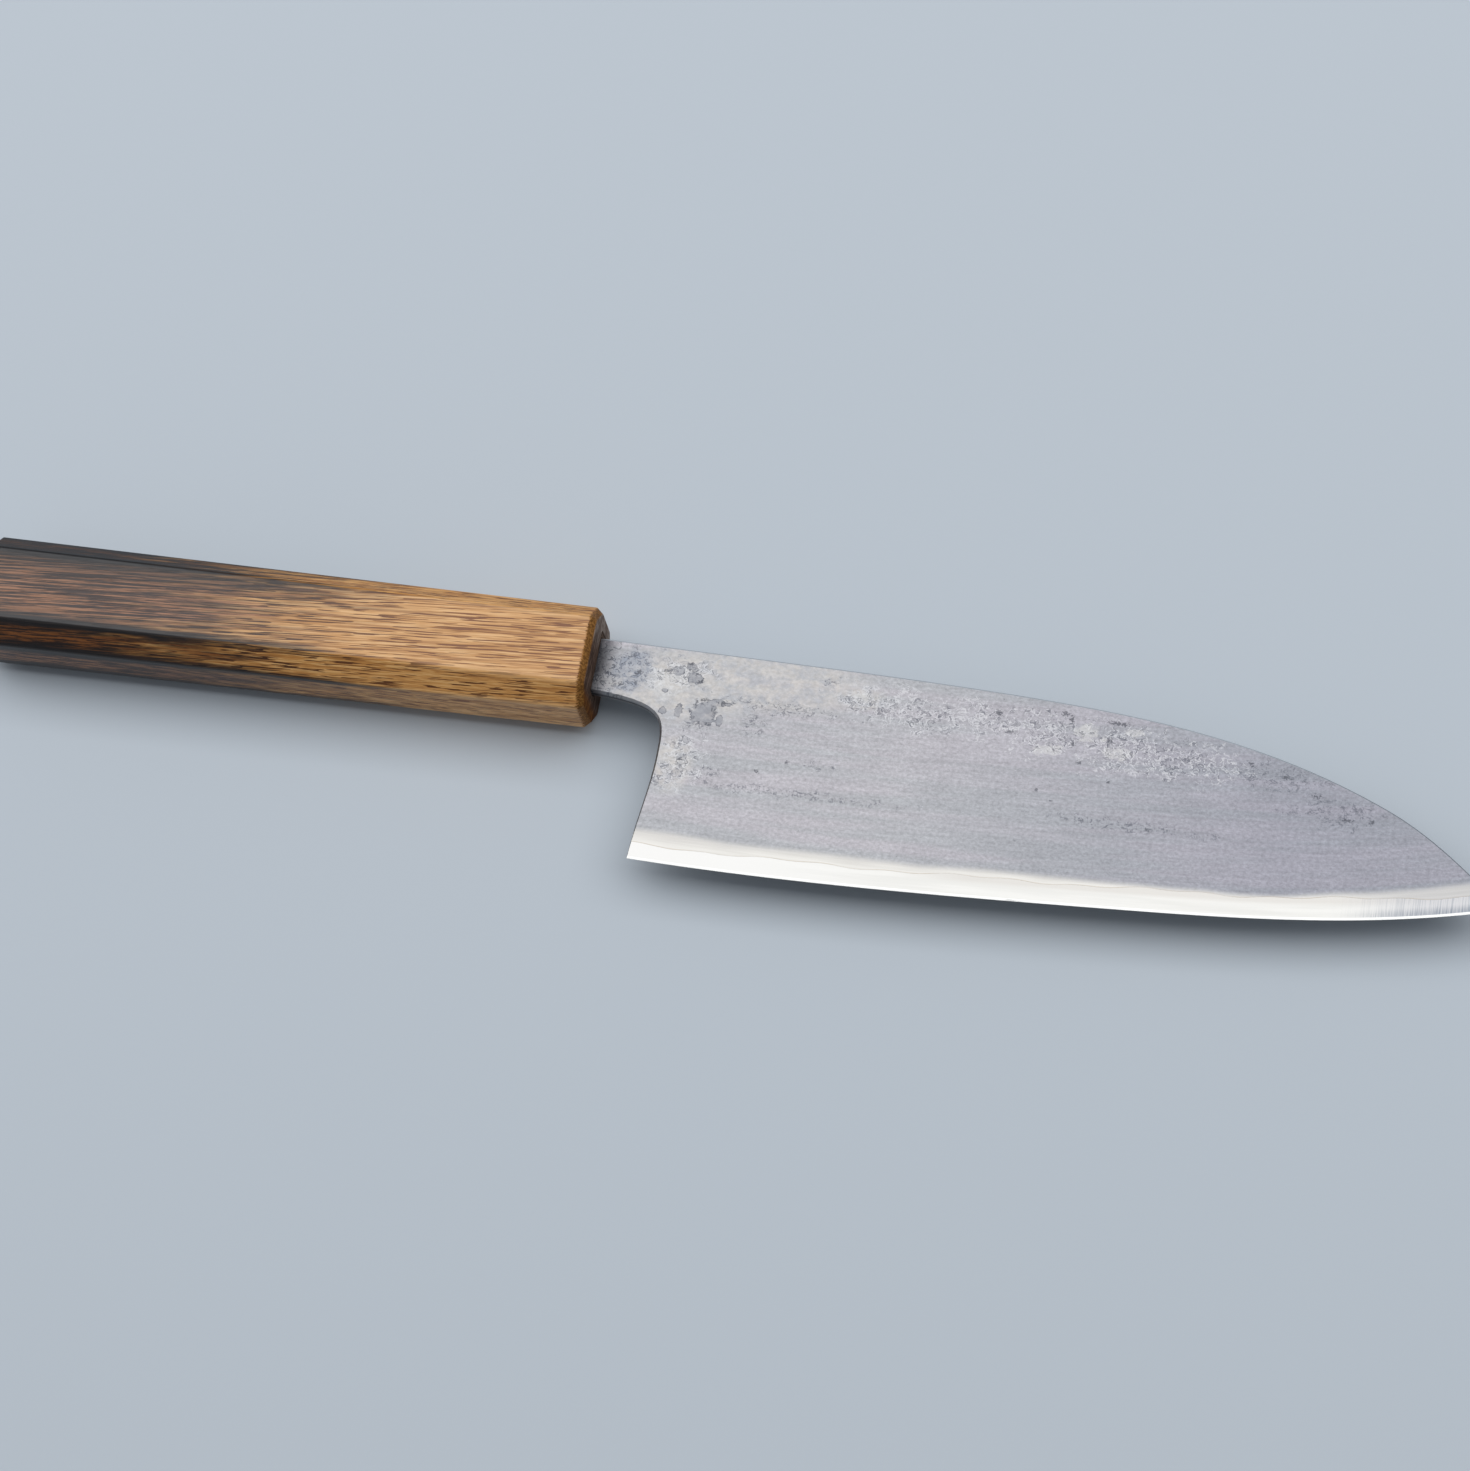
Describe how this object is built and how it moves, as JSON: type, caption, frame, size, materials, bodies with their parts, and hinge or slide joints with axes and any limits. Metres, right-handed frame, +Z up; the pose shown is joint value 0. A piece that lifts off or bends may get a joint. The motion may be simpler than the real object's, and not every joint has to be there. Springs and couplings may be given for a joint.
{
  "type": "santoku knife",
  "caption": "Santoku kitchen knife: layered steel blade with a ground bevel and sheep's-foot tip, its tang bedded in a straight eight-sided charred wood handle",
  "frame": {"origin": "The middle of the handle's lower facet, which the knife lies on", "axes": "+X along the handle's axis to the tip, +Y to the spine with the cutting edge at -Y, +Z up out of the blade's right face; metres"},
  "size_m": [0.3117, 0.052, 0.0188],
  "materials": {
    "core_steel": "hard core steel, ground and honed bright along the edge",
    "cladding_steel": "soft satin cladding with a pitted forged skin",
    "handle_wood": "oiled oak, charred dark at the butt",
    "bedding_resin": "dark matt resin"
  },
  "bodies": {
    "root": {"core_steel": "core_steel", "cladding_right": "cladding_steel", "cladding_left": "cladding_steel", "handle": "handle_wood", "tang_bedding": "bedding_resin"}
  },
  "joints": []
}
